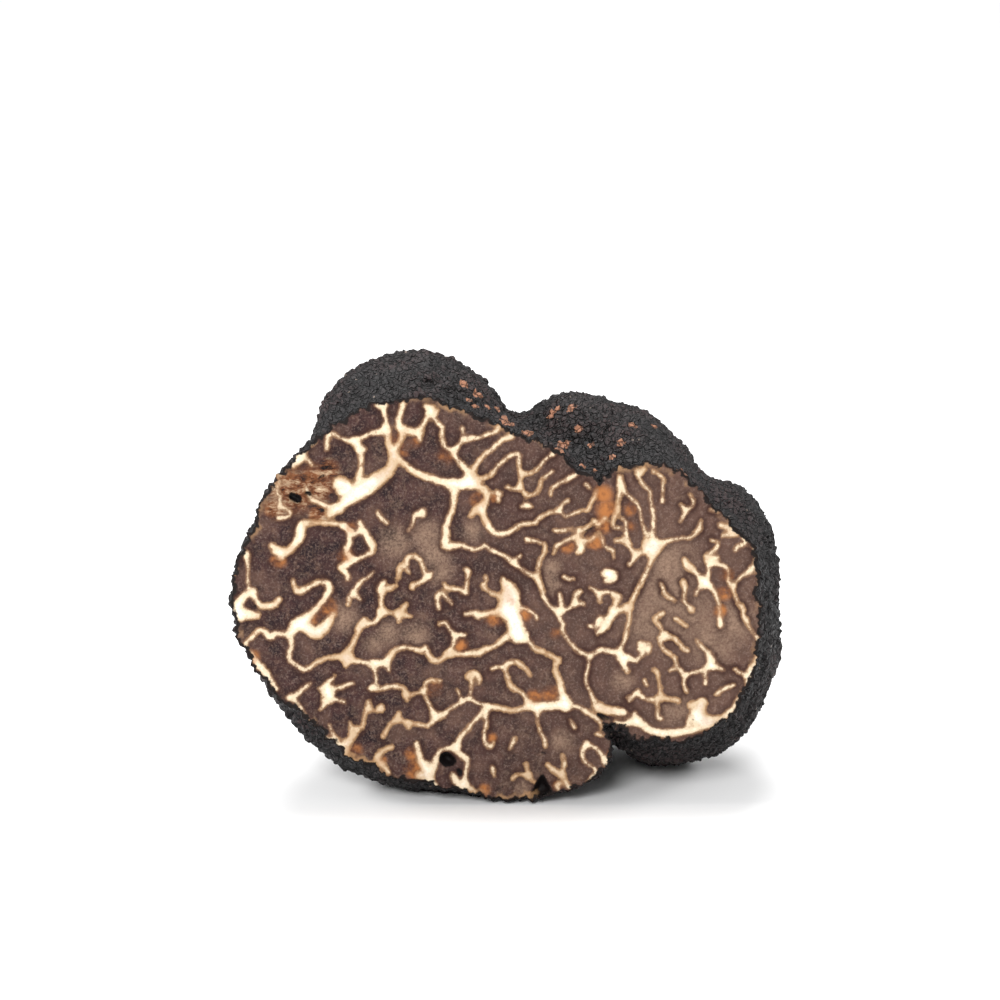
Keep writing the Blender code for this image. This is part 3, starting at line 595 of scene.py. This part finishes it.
@dataclass
class Truffle:
    """The whole truffle, as one closed mesh grown on the CAD body."""

    knife: Knife
    warts: Warts
    marbling: Marbling
    voxel: float = 0.45
    overrun: float = 1.6
    flesh_edge: float = 0.62
    vein_edge: float = 0.36
    rest_height: float = 0.9

    def grow(self) -> bpy.types.Object:
        """Makes the piece, from the CAD body to the finished mesh.

        Returns:
            The finished object, in place in the row frame.
        """
        body = self.even_body()
        self.lay_skin(body)
        self.cut_flat(body)
        self.refine_flesh(body)
        mesh = bpy.data.meshes.new("black_truffle")
        body.to_mesh(mesh)
        body.free()
        for polygon in mesh.polygons:
            polygon.use_smooth = True
        self.mark_flesh(mesh)
        truffle = bpy.data.objects.new("black_truffle", mesh)
        bpy.context.scene.collection.objects.link(truffle)
        return truffle

    def even_body(self) -> bmesh.types.BMesh:
        """Copies the CAD body, runs it on past the cut, and gives it an even mesh.

        Returns:
            The body as a mesh of even squares, a little longer than the cut truffle.
        """
        body = bmesh.new()
        body.from_mesh(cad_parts["truffle"].data)
        bmesh.ops.remove_doubles(body, verts=body.verts, dist=0.01 * MM)
        normal, point = self.knife.normal, self.knife.point
        on_cut = [v for v in body.verts if abs((v.co - point).dot(normal)) < 0.05 * MM]
        bmesh.ops.translate(body, verts=on_cut, vec=normal * self.overrun * MM)
        mesh = bpy.data.meshes.new("body")
        body.to_mesh(mesh)
        body.free()
        helper = bpy.data.objects.new("body", mesh)
        bpy.context.scene.collection.objects.link(helper)
        remesh = helper.modifiers.new("even", "REMESH")
        remesh.mode = "VOXEL"
        remesh.voxel_size = self.voxel * MM
        bpy.context.view_layer.update()
        graph = bpy.context.evaluated_depsgraph_get()
        even = bmesh.new()
        even.from_mesh(helper.evaluated_get(graph).to_mesh())
        bpy.data.objects.remove(helper)
        bmesh.ops.smooth_vert(even, verts=even.verts, factor=0.5, use_axis_x=True, use_axis_y=True, use_axis_z=True)
        return even

    def lay_skin(self, body: bmesh.types.BMesh) -> None:
        """Raises the warts over the body, and keeps them as a layer of heights.

        Args:
            body: the even mesh, changed in place.
        """
        body.normal_update()
        places = np.array([v.co[:] for v in body.verts]) / MM
        rise, top = self.warts.raise_on(places)
        rise += self.warts.lip(self.knife.grid(places * MM))
        layer = body.verts.layers.float.new("wart")
        for vert, height, share in zip(body.verts, rise, top):
            rest = min(max(vert.co.z / (self.rest_height * MM), 0.0), 1.0)
            vert.co += vert.normal * float(height) * rest * MM
            vert.co.z = max(vert.co.z, 0.0)
            vert[layer] = float(share)

    def cut_flat(self, body: bmesh.types.BMesh) -> None:
        """Cuts the body on the knife's plane and closes it with the flesh face.

        Args:
            body: the warty mesh, changed in place.
        """
        for face in body.faces:
            face.material_index = Surface.SKIN.value
        bmesh.ops.bisect_plane(
            body,
            geom=body.verts[:] + body.edges[:] + body.faces[:],
            plane_co=self.knife.point,
            plane_no=self.knife.normal,
            clear_outer=True,
        )
        rim = [v for e in body.edges if e.is_boundary for v in e.verts]
        bmesh.ops.remove_doubles(body, verts=list(set(rim)), dist=0.06 * MM)
        rim_edges = [e for e in body.edges if e.is_boundary]
        filled = bmesh.ops.triangle_fill(
            body, use_beauty=True, use_dissolve=False, edges=rim_edges, normal=self.knife.normal
        )
        for item in filled["geom"]:
            if isinstance(item, bmesh.types.BMFace):
                item.material_index = Surface.FLESH.value

    def refine_flesh(self, body: bmesh.types.BMesh) -> None:
        """Divides the flesh face until its triangles are small enough to carry the veins.

        Args:
            body: the closed mesh, changed in place.
        """
        for longest in (8.0, 4.0, 2.0, 1.0, 0.6, self.flesh_edge):
            for _ in range(2):
                self.split_long(body, longest, near_veins=False)
        self.split_long(body, self.vein_edge, near_veins=True)
        bmesh.ops.recalc_face_normals(body, faces=body.faces)

    def flesh_faces(self, body: bmesh.types.BMesh) -> list[bmesh.types.BMFace]:
        """The faces of the cut."""
        return [f for f in body.faces if f.material_index == Surface.FLESH.value]

    def split_long(self, body: bmesh.types.BMesh, longest: float, near_veins: bool) -> None:
        """Splits the flesh's long edges once and evens out the triangles.

        Args:
            body: the mesh, changed in place.
            longest: the length in millimetres over which an edge is split.
            near_veins: whether only the edges beside a vein's edge are split.
        """
        faces = self.flesh_faces(body)
        edges = [
            e
            for e in {e for f in faces for e in f.edges}
            if e.calc_length() > longest * MM and all(f.material_index == 0 for f in e.link_faces)
        ]
        if near_veins and edges:
            middles = np.array([((e.verts[0].co + e.verts[1].co) / 2)[:] for e in edges])
            depth = self.marbling.veins(self.knife.grid(middles)[:, :2])
            edges = [e for e, d in zip(edges, depth) if abs(d) < 0.12]
        if not edges:
            return
        bmesh.ops.subdivide_edges(body, edges=edges, cuts=1)
        faces = self.flesh_faces(body)
        bmesh.ops.triangulate(body, faces=faces, quad_method="BEAUTY", ngon_method="BEAUTY")
        faces = self.flesh_faces(body)
        inner = [
            v for v in {v for f in faces for v in f.verts} if all(f.material_index == 0 for f in v.link_faces)
        ]
        inner_edges = [
            e for e in {e for f in faces for e in f.edges} if all(f.material_index == 0 for f in e.link_faces)
        ]
        bmesh.ops.beautify_fill(body, faces=faces, edges=inner_edges, method="ANGLE")
        for _ in range(2):
            bmesh.ops.smooth_vert(
                body, verts=inner, factor=0.5, use_axis_x=True, use_axis_y=True, use_axis_z=True
            )

    def scars(self, skin: np.ndarray) -> np.ndarray:
        """Lays the rubbed places on the skin, where a look from the front finds them.

        Args:
            skin: the skin's points in the row frame.

        Returns:
            How strong the nearest scar is for each point, from 0 to 1.
        """
        strength = np.zeros(len(skin))
        eye = np.array(Studio().eye())
        sight = skin - eye
        far = np.linalg.norm(sight, axis=1)
        for along, up, radius in np.vstack(read_lines(SCARS)):
            ray = self.knife.place(along, up) - eye
            ray /= np.linalg.norm(ray)
            beside = np.linalg.norm(np.cross(sight, ray), axis=1)
            hit = np.argmin(np.where(beside < 0.5 * MM, far, np.inf))
            gap = np.linalg.norm(skin - skin[hit], axis=1) / (radius * MM)
            strength = np.maximum(strength, 1 - step(0.6, 2.4, gap))
        return strength

    def mark_flesh(self, mesh: bpy.types.Mesh) -> None:
        """Stores the veins, stains and scars on the mesh, and gives the flesh its low relief.

        Args:
            mesh: the finished mesh, changed in place.
        """
        count = len(mesh.vertices)
        places = np.empty(count * 3)
        mesh.vertices.foreach_get("co", places)
        places = places.reshape(-1, 3)
        on_flesh = np.zeros(count, bool)
        on_skin = np.zeros(count, bool)
        for polygon in mesh.polygons:
            chosen = on_flesh if polygon.material_index == Surface.FLESH.value else on_skin
            chosen[list(polygon.vertices)] = True
        rim = on_flesh & on_skin
        grid = self.knife.grid(places)
        cut = grid[on_flesh, :2]
        vein = np.full(count, -self.marbling.reach)
        vein[on_flesh] = self.marbling.veins(cut)
        hollow = np.full(count, -self.marbling.reach)
        hollow[on_flesh] = self.marbling.hollows(cut)
        stain, pale, torn = np.zeros(count), np.zeros(count), np.zeros(count)
        stain[on_flesh] = spots(cut, STAINS)
        pale[on_flesh] = spots(cut, PALE_ZONES, 0.9)
        torn[on_flesh] = spots(cut, TORN_ZONES, 0.5)
        scar = np.zeros(count)
        scar[on_skin] = self.scars(places[on_skin])
        tree = kdtree.KDTree(int(rim.sum()))
        for index in np.flatnonzero(rim):
            tree.insert(Vector(places[index]), int(index))
        tree.balance()
        edge = np.full(count, 9.0)
        for index in np.flatnonzero(on_flesh):
            edge[index] = tree.find(Vector(places[index]))[2] / MM
        for name, values in {
            "vein": vein, "hollow": hollow, "stain": stain, "pale": pale, "torn": torn, "scar": scar, "edge": edge,
        }.items():
            layer = mesh.attributes.new(name, "FLOAT", "POINT")
            layer.data.foreach_set("value", values.astype(np.float32))
        inner = np.flatnonzero(on_flesh & ~rim)
        rough = roughness_field(grid[inner] + 0.0, 1.1, 3)
        broad = roughness_field(grid[inner] + 40.0, 6.0, 2)
        fade = step(0.0, 0.8, edge[inner])
        relief = 0.035 * step(-0.1, 0.25, vein[inner]) + 0.03 * rough + 0.07 * broad
        relief -= 0.6 * torn[inner] * np.clip(rough + 0.25, 0, 1)
        relief -= 1.5 * step(-0.05, 0.9, hollow[inner])
        relief = relief * fade - 0.10 * (1 - step(0.0, 0.5, edge[inner]))
        places[inner] += np.outer(relief * MM, self.knife.normal)
        mesh.vertices.foreach_set("co", places.ravel())
        mesh.update()


class Nodes:
    """A short way to place and join the nodes of one material or group."""

    def __init__(self, tree: bpy.types.NodeTree) -> None:
        """Keeps the tree that the nodes go in."""
        self.tree = tree

    def add(self, kind: str, settings: dict | None = None, **inputs: object) -> bpy.types.Node:
        """Places a node and sets or joins its inputs.

        Args:
            kind: the node's type name without its ShaderNode prefix.
            settings: the node's own properties.
            **inputs: values or sockets, by input name with _ for a space, or n0, n1 for a number.

        Returns:
            The new node.
        """
        node = self.tree.nodes.new(kind if kind.startswith("NodeGroup") else "ShaderNode" + kind)
        for name, value in (settings or {}).items():
            setattr(node, name, value)
        for name, value in inputs.items():
            numbered = name[0] == "n" and name[1:].isdigit()
            socket = node.inputs[int(name[1:])] if numbered else node.inputs[name.replace("_", " ")]
            if isinstance(value, bpy.types.NodeSocket):
                self.tree.links.new(value, socket)
            else:
                socket.default_value = value
        return node

    def attribute(self, name: str) -> bpy.types.NodeSocket:
        """Reads one of the mesh's stored values."""
        return self.add("Attribute", {"attribute_name": name}).outputs["Fac"]

    def math(self, operation: str, *values: object, clamp: bool = False) -> bpy.types.NodeSocket:
        """Joins values by one sum."""
        inputs = {f"n{i}": v for i, v in enumerate(values)}
        return self.add("Math", {"operation": operation, "use_clamp": clamp}, **inputs).outputs[0]

    def between(self, value: object, low: float, high: float, start: float = 0.0, end: float = 1.0) -> bpy.types.NodeSocket:
        """Maps a value smoothly from low..high onto start..end."""
        node = self.add(
            "MapRange", {"interpolation_type": "SMOOTHSTEP"}, n0=value, n1=low, n2=high, n3=start, n4=end
        )
        return node.outputs[0]

    def mix(self, share: object, first: object, second: object, blend: str = "MIX") -> bpy.types.NodeSocket:
        """Mixes two colours."""
        node = self.add("Mix", {"data_type": "RGBA", "blend_type": blend}, n0=share, n6=first, n7=second)
        return node.outputs[2]

    def noise(self, where: object, size: float, detail: float = 3.0, rough: float = 0.55) -> bpy.types.NodeSocket:
        """Noise with lumps of that size in millimetres."""
        node = self.add(
            "TexNoise", None, Vector=where, Scale=1.0 / (size * MM), Detail=detail, Roughness=rough
        )
        return node.outputs["Fac"]


def speckle_group() -> bpy.types.NodeTree:
    """Makes the group for fine specks, which the flesh and the skin share.

    Returns:
        A group that puts out a mask of small irregular specks.
    """
    tree = bpy.data.node_groups.new("Fine specks", "ShaderNodeTree")
    for name, kind, way in (
        ("Vector", "NodeSocketVector", "INPUT"),
        ("Scale", "NodeSocketFloat", "INPUT"),
        ("Share", "NodeSocketFloat", "INPUT"),
        ("Mask", "NodeSocketFloat", "OUTPUT"),
    ):
        tree.interface.new_socket(name, in_out=way, socket_type=kind)
    nodes = Nodes(tree)
    given = nodes.add("NodeGroupInput").outputs
    cells = nodes.add("TexVoronoi", None, Vector=given["Vector"], Scale=given["Scale"])
    tone = nodes.add("SeparateColor", None, Color=cells.outputs["Color"]).outputs[0]
    kept = nodes.math("LESS_THAN", tone, given["Share"])
    size = nodes.math("MULTIPLY_ADD", tone, 0.4, 0.22)
    body = nodes.math("LESS_THAN", cells.outputs["Distance"], size)
    mask = nodes.math("MULTIPLY", kept, body)
    nodes.add("NodeGroupOutput", None, Mask=mask)
    return tree


@dataclass(frozen=True)
class FleshFinish:
    """Dark marbled flesh with cream veins, seen freshly cut and slightly dry."""

    dark: tuple[float, ...] = (0.012, 0.005, 0.007, 1.0)
    mid: tuple[float, ...] = (0.050, 0.022, 0.020, 1.0)
    warm: tuple[float, ...] = (0.135, 0.074, 0.052, 1.0)
    fleck: tuple[float, ...] = (0.24, 0.165, 0.135, 1.0)
    tan: tuple[float, ...] = (0.27, 0.175, 0.120, 1.0)
    cream: tuple[float, ...] = (0.74, 0.60, 0.42, 1.0)
    white: tuple[float, ...] = (0.88, 0.80, 0.68, 1.0)
    amber: tuple[float, ...] = (0.42, 0.24, 0.115, 1.0)
    umber: tuple[float, ...] = (0.20, 0.105, 0.060, 1.0)
    brown: tuple[float, ...] = (0.16, 0.055, 0.022, 1.0)
    rust: tuple[float, ...] = (0.40, 0.15, 0.045, 1.0)
    fibre: tuple[float, ...] = (0.42, 0.28, 0.17, 1.0)
    halo: tuple[float, ...] = (0.036, 0.013, 0.009, 1.0)
    # Painted shade: the near-black colour put in pits, cracks and notches, and in the fissures between torn fibres.
    pit: tuple[float, ...] = (0.006, 0.004, 0.004, 1.0)
    rim: tuple[float, ...] = (0.012, 0.008, 0.007, 1.0)

    def make(self, specks: bpy.types.NodeTree) -> bpy.types.Material:
        """Builds the material.

        Args:
            specks: the shared group of fine specks.

        Returns:
            The flesh's material.
        """
        material = bpy.data.materials.new("truffle_flesh")
        material.use_nodes = True
        nodes = Nodes(material.node_tree)
        shader = material.node_tree.nodes["Principled BSDF"]
        where = nodes.add("TexCoord").outputs["Object"]
        fine = nodes.noise(where, 0.32, 5.0, 0.7)
        coarse = nodes.noise(where, 2.4, 4.0, 0.6)
        patch = nodes.noise(where, 6.0, 3.0)
        wobble = nodes.math("MULTIPLY_ADD", nodes.noise(where, 0.8, 5.0, 0.7), 0.80, -0.44)
        glow = nodes.noise(where, 4.2, 3.0, 0.6)
        depth = nodes.attribute("vein")
        vein = nodes.math("ADD", depth, wobble)
        strands = nodes.math("ABSOLUTE", nodes.math("SUBTRACT", nodes.noise(where, 3.4, 4.0, 0.62), 0.5))
        strands = nodes.between(strands, 0.006, 0.030, 1.0, 0.0)
        strands = nodes.math("MULTIPLY", strands, nodes.between(patch, 0.42, 0.6))

        side = nodes.add("SeparateXYZ", None, Vector=where).outputs[0]
        flesh = nodes.mix(nodes.between(coarse, 0.36, 0.66), self.dark, self.mid)
        flesh = nodes.mix(nodes.between(side, -0.020, 0.026, 0.0, 0.55), flesh, self.warm)
        flesh = nodes.mix(nodes.between(glow, 0.46, 0.72, 0.0, 0.55), flesh, self.warm)
        mottle = nodes.noise(where, 0.9, 5.0, 0.7)
        flesh = nodes.mix(nodes.between(mottle, 0.50, 0.68, 0.0, 0.50), flesh, self.warm)
        flesh = nodes.mix(nodes.between(fine, 0.47, 0.72, 0.0, 0.55), flesh, self.fleck)
        dots = nodes.add("Group", {"node_tree": specks}, Vector=where, Scale=1.0 / (0.36 * MM), Share=0.4)
        flesh = nodes.mix(nodes.math("MULTIPLY", dots.outputs[0], 0.12), flesh, self.fleck)
        flesh = nodes.mix(nodes.math("MULTIPLY", strands, 0.18), flesh, self.tan)
        pale = nodes.math("MULTIPLY", nodes.attribute("pale"), nodes.between(fine, 0.30, 0.66, 0.25, 1.0))
        pale = nodes.math("MULTIPLY", pale, nodes.between(coarse, 0.3, 0.6, 0.45, 1.0))
        flesh = nodes.mix(pale, flesh, self.tan)
        near = nodes.math("MULTIPLY", nodes.between(vein, -1.0, -0.35), nodes.between(glow, 0.35, 0.6, 0.9, 0.3))
        flesh = nodes.mix(near, flesh, self.halo)
        stain = nodes.math("MULTIPLY", nodes.attribute("stain"), nodes.between(coarse, 0.34, 0.62, 0.2, 1.0))
        flesh = nodes.mix(stain, flesh, nodes.mix(nodes.between(coarse, 0.42, 0.66), self.brown, self.rust))
        torn = nodes.attribute("torn")
        drawn = nodes.add("Mapping", None, Vector=where, Rotation=(0.0, 0.75, 0.0), Scale=(0.42, 1.0, 1.0))
        thread = nodes.noise(drawn.outputs[0], 1.1, 5.0, 0.7)
        # The darkest threads of the torn places are painted shade in the fissures between the fibres.
        fibres = nodes.mix(nodes.between(thread, 0.36, 0.50), self.pit, self.brown)
        fibres = nodes.mix(nodes.between(thread, 0.48, 0.60), fibres, self.fibre)
        fibres = nodes.mix(nodes.between(thread, 0.60, 0.72), fibres, self.cream)
        flesh = nodes.mix(nodes.math("MULTIPLY", torn, 0.95), flesh, fibres)

        bright = nodes.mix(nodes.between(vein, -0.10, 0.24), self.fibre, self.cream)
        bright = nodes.mix(nodes.between(vein, 0.20, 0.65), bright, self.white)
        bright = nodes.mix(nodes.between(patch, 0.48, 0.66, 0.0, 0.55), bright, self.amber)
        bright = nodes.mix(nodes.between(fine, 0.48, 0.76, 0.0, 0.50), bright, self.amber)
        bright = nodes.mix(nodes.math("MULTIPLY", stain, 0.6), bright, self.rust)
        border = nodes.mix(nodes.between(patch, 0.4, 0.62), self.umber, self.amber)
        colour = nodes.mix(nodes.between(vein, -0.34, -0.04, 0.0, 0.7), flesh, border)
        colour = nodes.mix(nodes.between(vein, -0.12, 0.12), colour, bright)
        # Painted shade: pits, cracks and notches are coloured near black, darker than any flesh.
        hollow = nodes.math("ADD", nodes.attribute("hollow"), wobble)
        colour = nodes.mix(nodes.between(hollow, -0.08, 0.18), colour, self.pit)
        edge = nodes.attribute("edge")
        ragged = nodes.math("MULTIPLY_ADD", nodes.noise(where, 1.3, 4.0, 0.6), 1.7, -0.62)
        crust = nodes.math("SUBTRACT", edge, ragged)
        toasted = nodes.math("MULTIPLY", nodes.between(crust, 0.25, 0.8, 1.0, 0.0), nodes.between(patch, 0.48, 0.66, 0.0, 0.7))
        colour = nodes.mix(toasted, colour, border)
        colour = nodes.mix(nodes.between(crust, 0.0, 0.22, 1.0, 0.0), colour, self.rim)
        nodes.tree.links.new(colour, shader.inputs["Base Color"])

        gloss = nodes.between(fine, 0.3, 0.7, 0.40, 0.62)
        gloss = nodes.math("ADD", gloss, nodes.between(vein, 0.0, 0.2, 0.0, 0.06))
        nodes.tree.links.new(gloss, shader.inputs["Roughness"])
        height = nodes.math("MULTIPLY_ADD", nodes.between(vein, -0.2, 0.15), 0.5, fine)
        bump = nodes.add("Bump", None, Strength=0.6, Distance=0.16 * MM, Height=height)
        nodes.tree.links.new(bump.outputs[0], shader.inputs["Normal"])
        shader.inputs["Specular IOR Level"].default_value = 0.12
        return material


@dataclass(frozen=True)
class SkinFinish:
    """Charcoal skin: dull black warts with browner furrows, pale specks and rubbed scars; painted shade darkens the
    furrows and cracks between the warts, and a painted highlight lightens their crests.
    """

    # Painted shade: the near-black colour laid in the furrows and cracks between the warts.
    furrow: tuple[float, ...] = (0.0025, 0.002, 0.002, 1.0)
    wart: tuple[float, ...] = (0.011, 0.010, 0.011, 1.0)
    plum: tuple[float, ...] = (0.030, 0.014, 0.014, 1.0)
    # Painted highlight: the grey laid on the crests of the warts.
    worn: tuple[float, ...] = (0.050, 0.044, 0.043, 1.0)
    scar: tuple[float, ...] = (0.36, 0.16, 0.09, 1.0)
    speck: tuple[float, ...] = (0.22, 0.17, 0.14, 1.0)

    def make(self, specks: bpy.types.NodeTree) -> bpy.types.Material:
        """Builds the material.

        Args:
            specks: the shared group of fine specks.

        Returns:
            The skin's material.
        """
        material = bpy.data.materials.new("truffle_skin")
        material.use_nodes = True
        nodes = Nodes(material.node_tree)
        shader = material.node_tree.nodes["Principled BSDF"]
        where = nodes.add("TexCoord").outputs["Object"]
        grain = nodes.noise(where, 0.28, 4.0, 0.65)
        patch = nodes.noise(where, 8.0, 3.0)
        bent = nodes.add("VectorMath", {"operation": "SCALE"}, Vector=nodes.add("TexNoise", None, Vector=where, Scale=1.0 / (1.5 * MM)).outputs["Color"], Scale=0.5 * MM)
        bent = nodes.add("VectorMath", {"operation": "ADD"}, n0=where, n1=bent.outputs[0]).outputs[0]
        cells = nodes.add("TexVoronoi", {"feature": "DISTANCE_TO_EDGE"}, Vector=bent, Scale=1.0 / (0.85 * MM)).outputs["Distance"]
        cracks = nodes.between(cells, 0.0, 0.16)
        top = nodes.math("MULTIPLY", nodes.between(nodes.attribute("wart"), 0.0, 0.7, 0.35, 1.0), cracks)
        # Painted shade: the colour darkens from the wart tops into the furrows and towards the cracks at the cell
        # edges.
        colour = nodes.mix(nodes.between(top, 0.2, 0.9), self.furrow, self.wart)
        colour = nodes.mix(nodes.math("MULTIPLY", nodes.between(patch, 0.42, 0.64, 0.1, 1.0), top), colour, self.plum)
        # Painted highlight: the crests of the warts are painted lighter grey.
        crest_highlight_mask = nodes.math("MULTIPLY", nodes.between(top, 0.7, 1.0), nodes.between(grain, 0.45, 0.7))
        colour = nodes.mix(nodes.math("MULTIPLY", crest_highlight_mask, 0.9), colour, self.worn)
        dots = nodes.add("Group", {"node_tree": specks}, Vector=where, Scale=1.0 / (0.9 * MM), Share=0.035)
        colour = nodes.mix(nodes.math("MULTIPLY", dots.outputs[0], 0.8), colour, self.speck)
        blotch = nodes.math("MULTIPLY_ADD", nodes.noise(where, 0.9, 4.0, 0.7), 1.6, -0.85)
        scar = nodes.between(nodes.math("ADD", nodes.attribute("scar"), blotch), 0.42, 0.62)
        scar = nodes.math("MULTIPLY", scar, nodes.math("GREATER_THAN", nodes.attribute("scar"), 0.02))
        # Painted shade: the scars are dimmed down in the furrows.
        scar = nodes.math("MULTIPLY", scar, nodes.between(top, 0.0, 0.4, 0.35, 1.0))
        colour = nodes.mix(scar, colour, self.scar)
        nodes.tree.links.new(colour, shader.inputs["Base Color"])
        nodes.tree.links.new(nodes.between(grain, 0.3, 0.7, 0.42, 0.68), shader.inputs["Roughness"])
        height = nodes.math("MULTIPLY_ADD", grain, 0.45, cracks)
        bump = nodes.add("Bump", None, Strength=1.0, Distance=0.32 * MM, Height=height)
        nodes.tree.links.new(bump.outputs[0], shader.inputs["Normal"])
        shader.inputs["Specular IOR Level"].default_value = 0.26
        return material


@dataclass
class Studio:
    """The pale floor, the soft lights and the camera, in metres."""

    floor_half: float = 14.0
    lens: float = 100.0
    sensor: float = 36.0
    distance: float = 0.362
    elevation: float = math.radians(12.0)
    target: tuple[float, float, float] = (-0.001466, -0.021524, 0.041605)

    def sight(self) -> Vector:
        """The way the camera looks."""
        return Vector((0.0, math.cos(self.elevation), -math.sin(self.elevation)))

    def eye(self) -> Vector:
        """Where the camera stands."""
        return Vector(self.target) - self.sight() * self.distance

    def lay_floor(self) -> bpy.types.Object:
        """Lays the pale floor.

        Returns:
            The floor, marked as not part of the object.
        """
        sheet = bmesh.new()
        bmesh.ops.create_grid(sheet, x_segments=2, y_segments=2, size=self.floor_half)
        mesh = bpy.data.meshes.new("floor")
        sheet.to_mesh(mesh)
        sheet.free()
        floor = bpy.data.objects.new("floor", mesh)
        bpy.context.scene.collection.objects.link(floor)
        material = bpy.data.materials.new("pale_floor")
        material.use_nodes = True
        shader = material.node_tree.nodes["Principled BSDF"]
        shader.inputs["Base Color"].default_value = (0.92, 0.92, 0.92, 1.0)
        shader.inputs["Roughness"].default_value = 0.7
        shader.inputs["Specular IOR Level"].default_value = 0.2
        mesh.materials.append(material)
        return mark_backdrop(floor) or floor

    def hang_light(self, name: str, place: tuple[float, ...], size: float, power: float) -> None:
        """Hangs one soft square light that looks at the truffle.

        Args:
            name: the light's name.
            place: where it hangs, in metres.
            size: the length of its side.
            power: its power in watts.
        """
        lamp = bpy.data.lights.new(name, "AREA")
        lamp.size = size
        lamp.energy = power
        light = bpy.data.objects.new(name, lamp)
        light.location = place
        aim = Vector(self.target) - Vector(place)
        light.rotation_euler = aim.to_track_quat("-Z", "Y").to_euler()
        bpy.context.scene.collection.objects.link(light)

    def light_up(self) -> None:
        """Sets the white surroundings and the lights."""
        world = bpy.data.worlds.new("studio")
        world.use_nodes = True
        sky = world.node_tree.nodes["Background"]
        sky.inputs["Color"].default_value = (1.0, 1.0, 1.0, 1.0)
        sky.inputs["Strength"].default_value = 0.40
        bpy.context.scene.world = world
        self.hang_light("front_light", (-0.3, -1.1, 0.75), 0.5, 13.0)
        self.hang_light("left_light", (-0.7, 0.1, 0.5), 0.3, 4.0)
        self.hang_light("right_light", (0.7, 0.2, 0.45), 0.3, 3.0)
        lamp = bpy.data.lights.new("overhead", "SUN")
        lamp.energy = 2.5
        lamp.angle = math.radians(32.0)
        light = bpy.data.objects.new("overhead", lamp)
        light.rotation_euler = Vector((0.05, -0.42, -1.0)).to_track_quat("-Z", "Y").to_euler()
        bpy.context.scene.collection.objects.link(light)

    def place_camera(self) -> None:
        """Places the camera in front of the cut, a little above it."""
        lens = bpy.data.cameras.new("camera")
        lens.lens = self.lens
        lens.sensor_width = self.sensor
        lens.clip_start = 0.01
        camera = bpy.data.objects.new("camera", lens)
        camera.location = self.eye()
        camera.rotation_euler = self.sight().to_track_quat("-Z", "Y").to_euler()
        bpy.context.scene.collection.objects.link(camera)
        bpy.context.scene.camera = camera


def main() -> None:
    """Builds the truffle and its studio."""
    logging.basicConfig(level=logging.INFO, format="%(message)s")
    log = logging.getLogger("truffle")
    truffle = Truffle(Knife(), Warts(), Marbling()).grow()
    specks = speckle_group()
    truffle.data.materials.append(FleshFinish().make(specks))
    truffle.data.materials.append(SkinFinish().make(specks))
    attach(truffle, "root")
    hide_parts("truffle")
    truffle.data.calc_loop_triangles()
    log.info("%s: %d triangles", truffle.name, len(truffle.data.loop_triangles))
    studio = Studio()
    studio.lay_floor()
    studio.light_up()
    studio.place_camera()
    bpy.context.scene.view_settings.view_transform = "Standard"


if __name__ == "__main__":
    main()
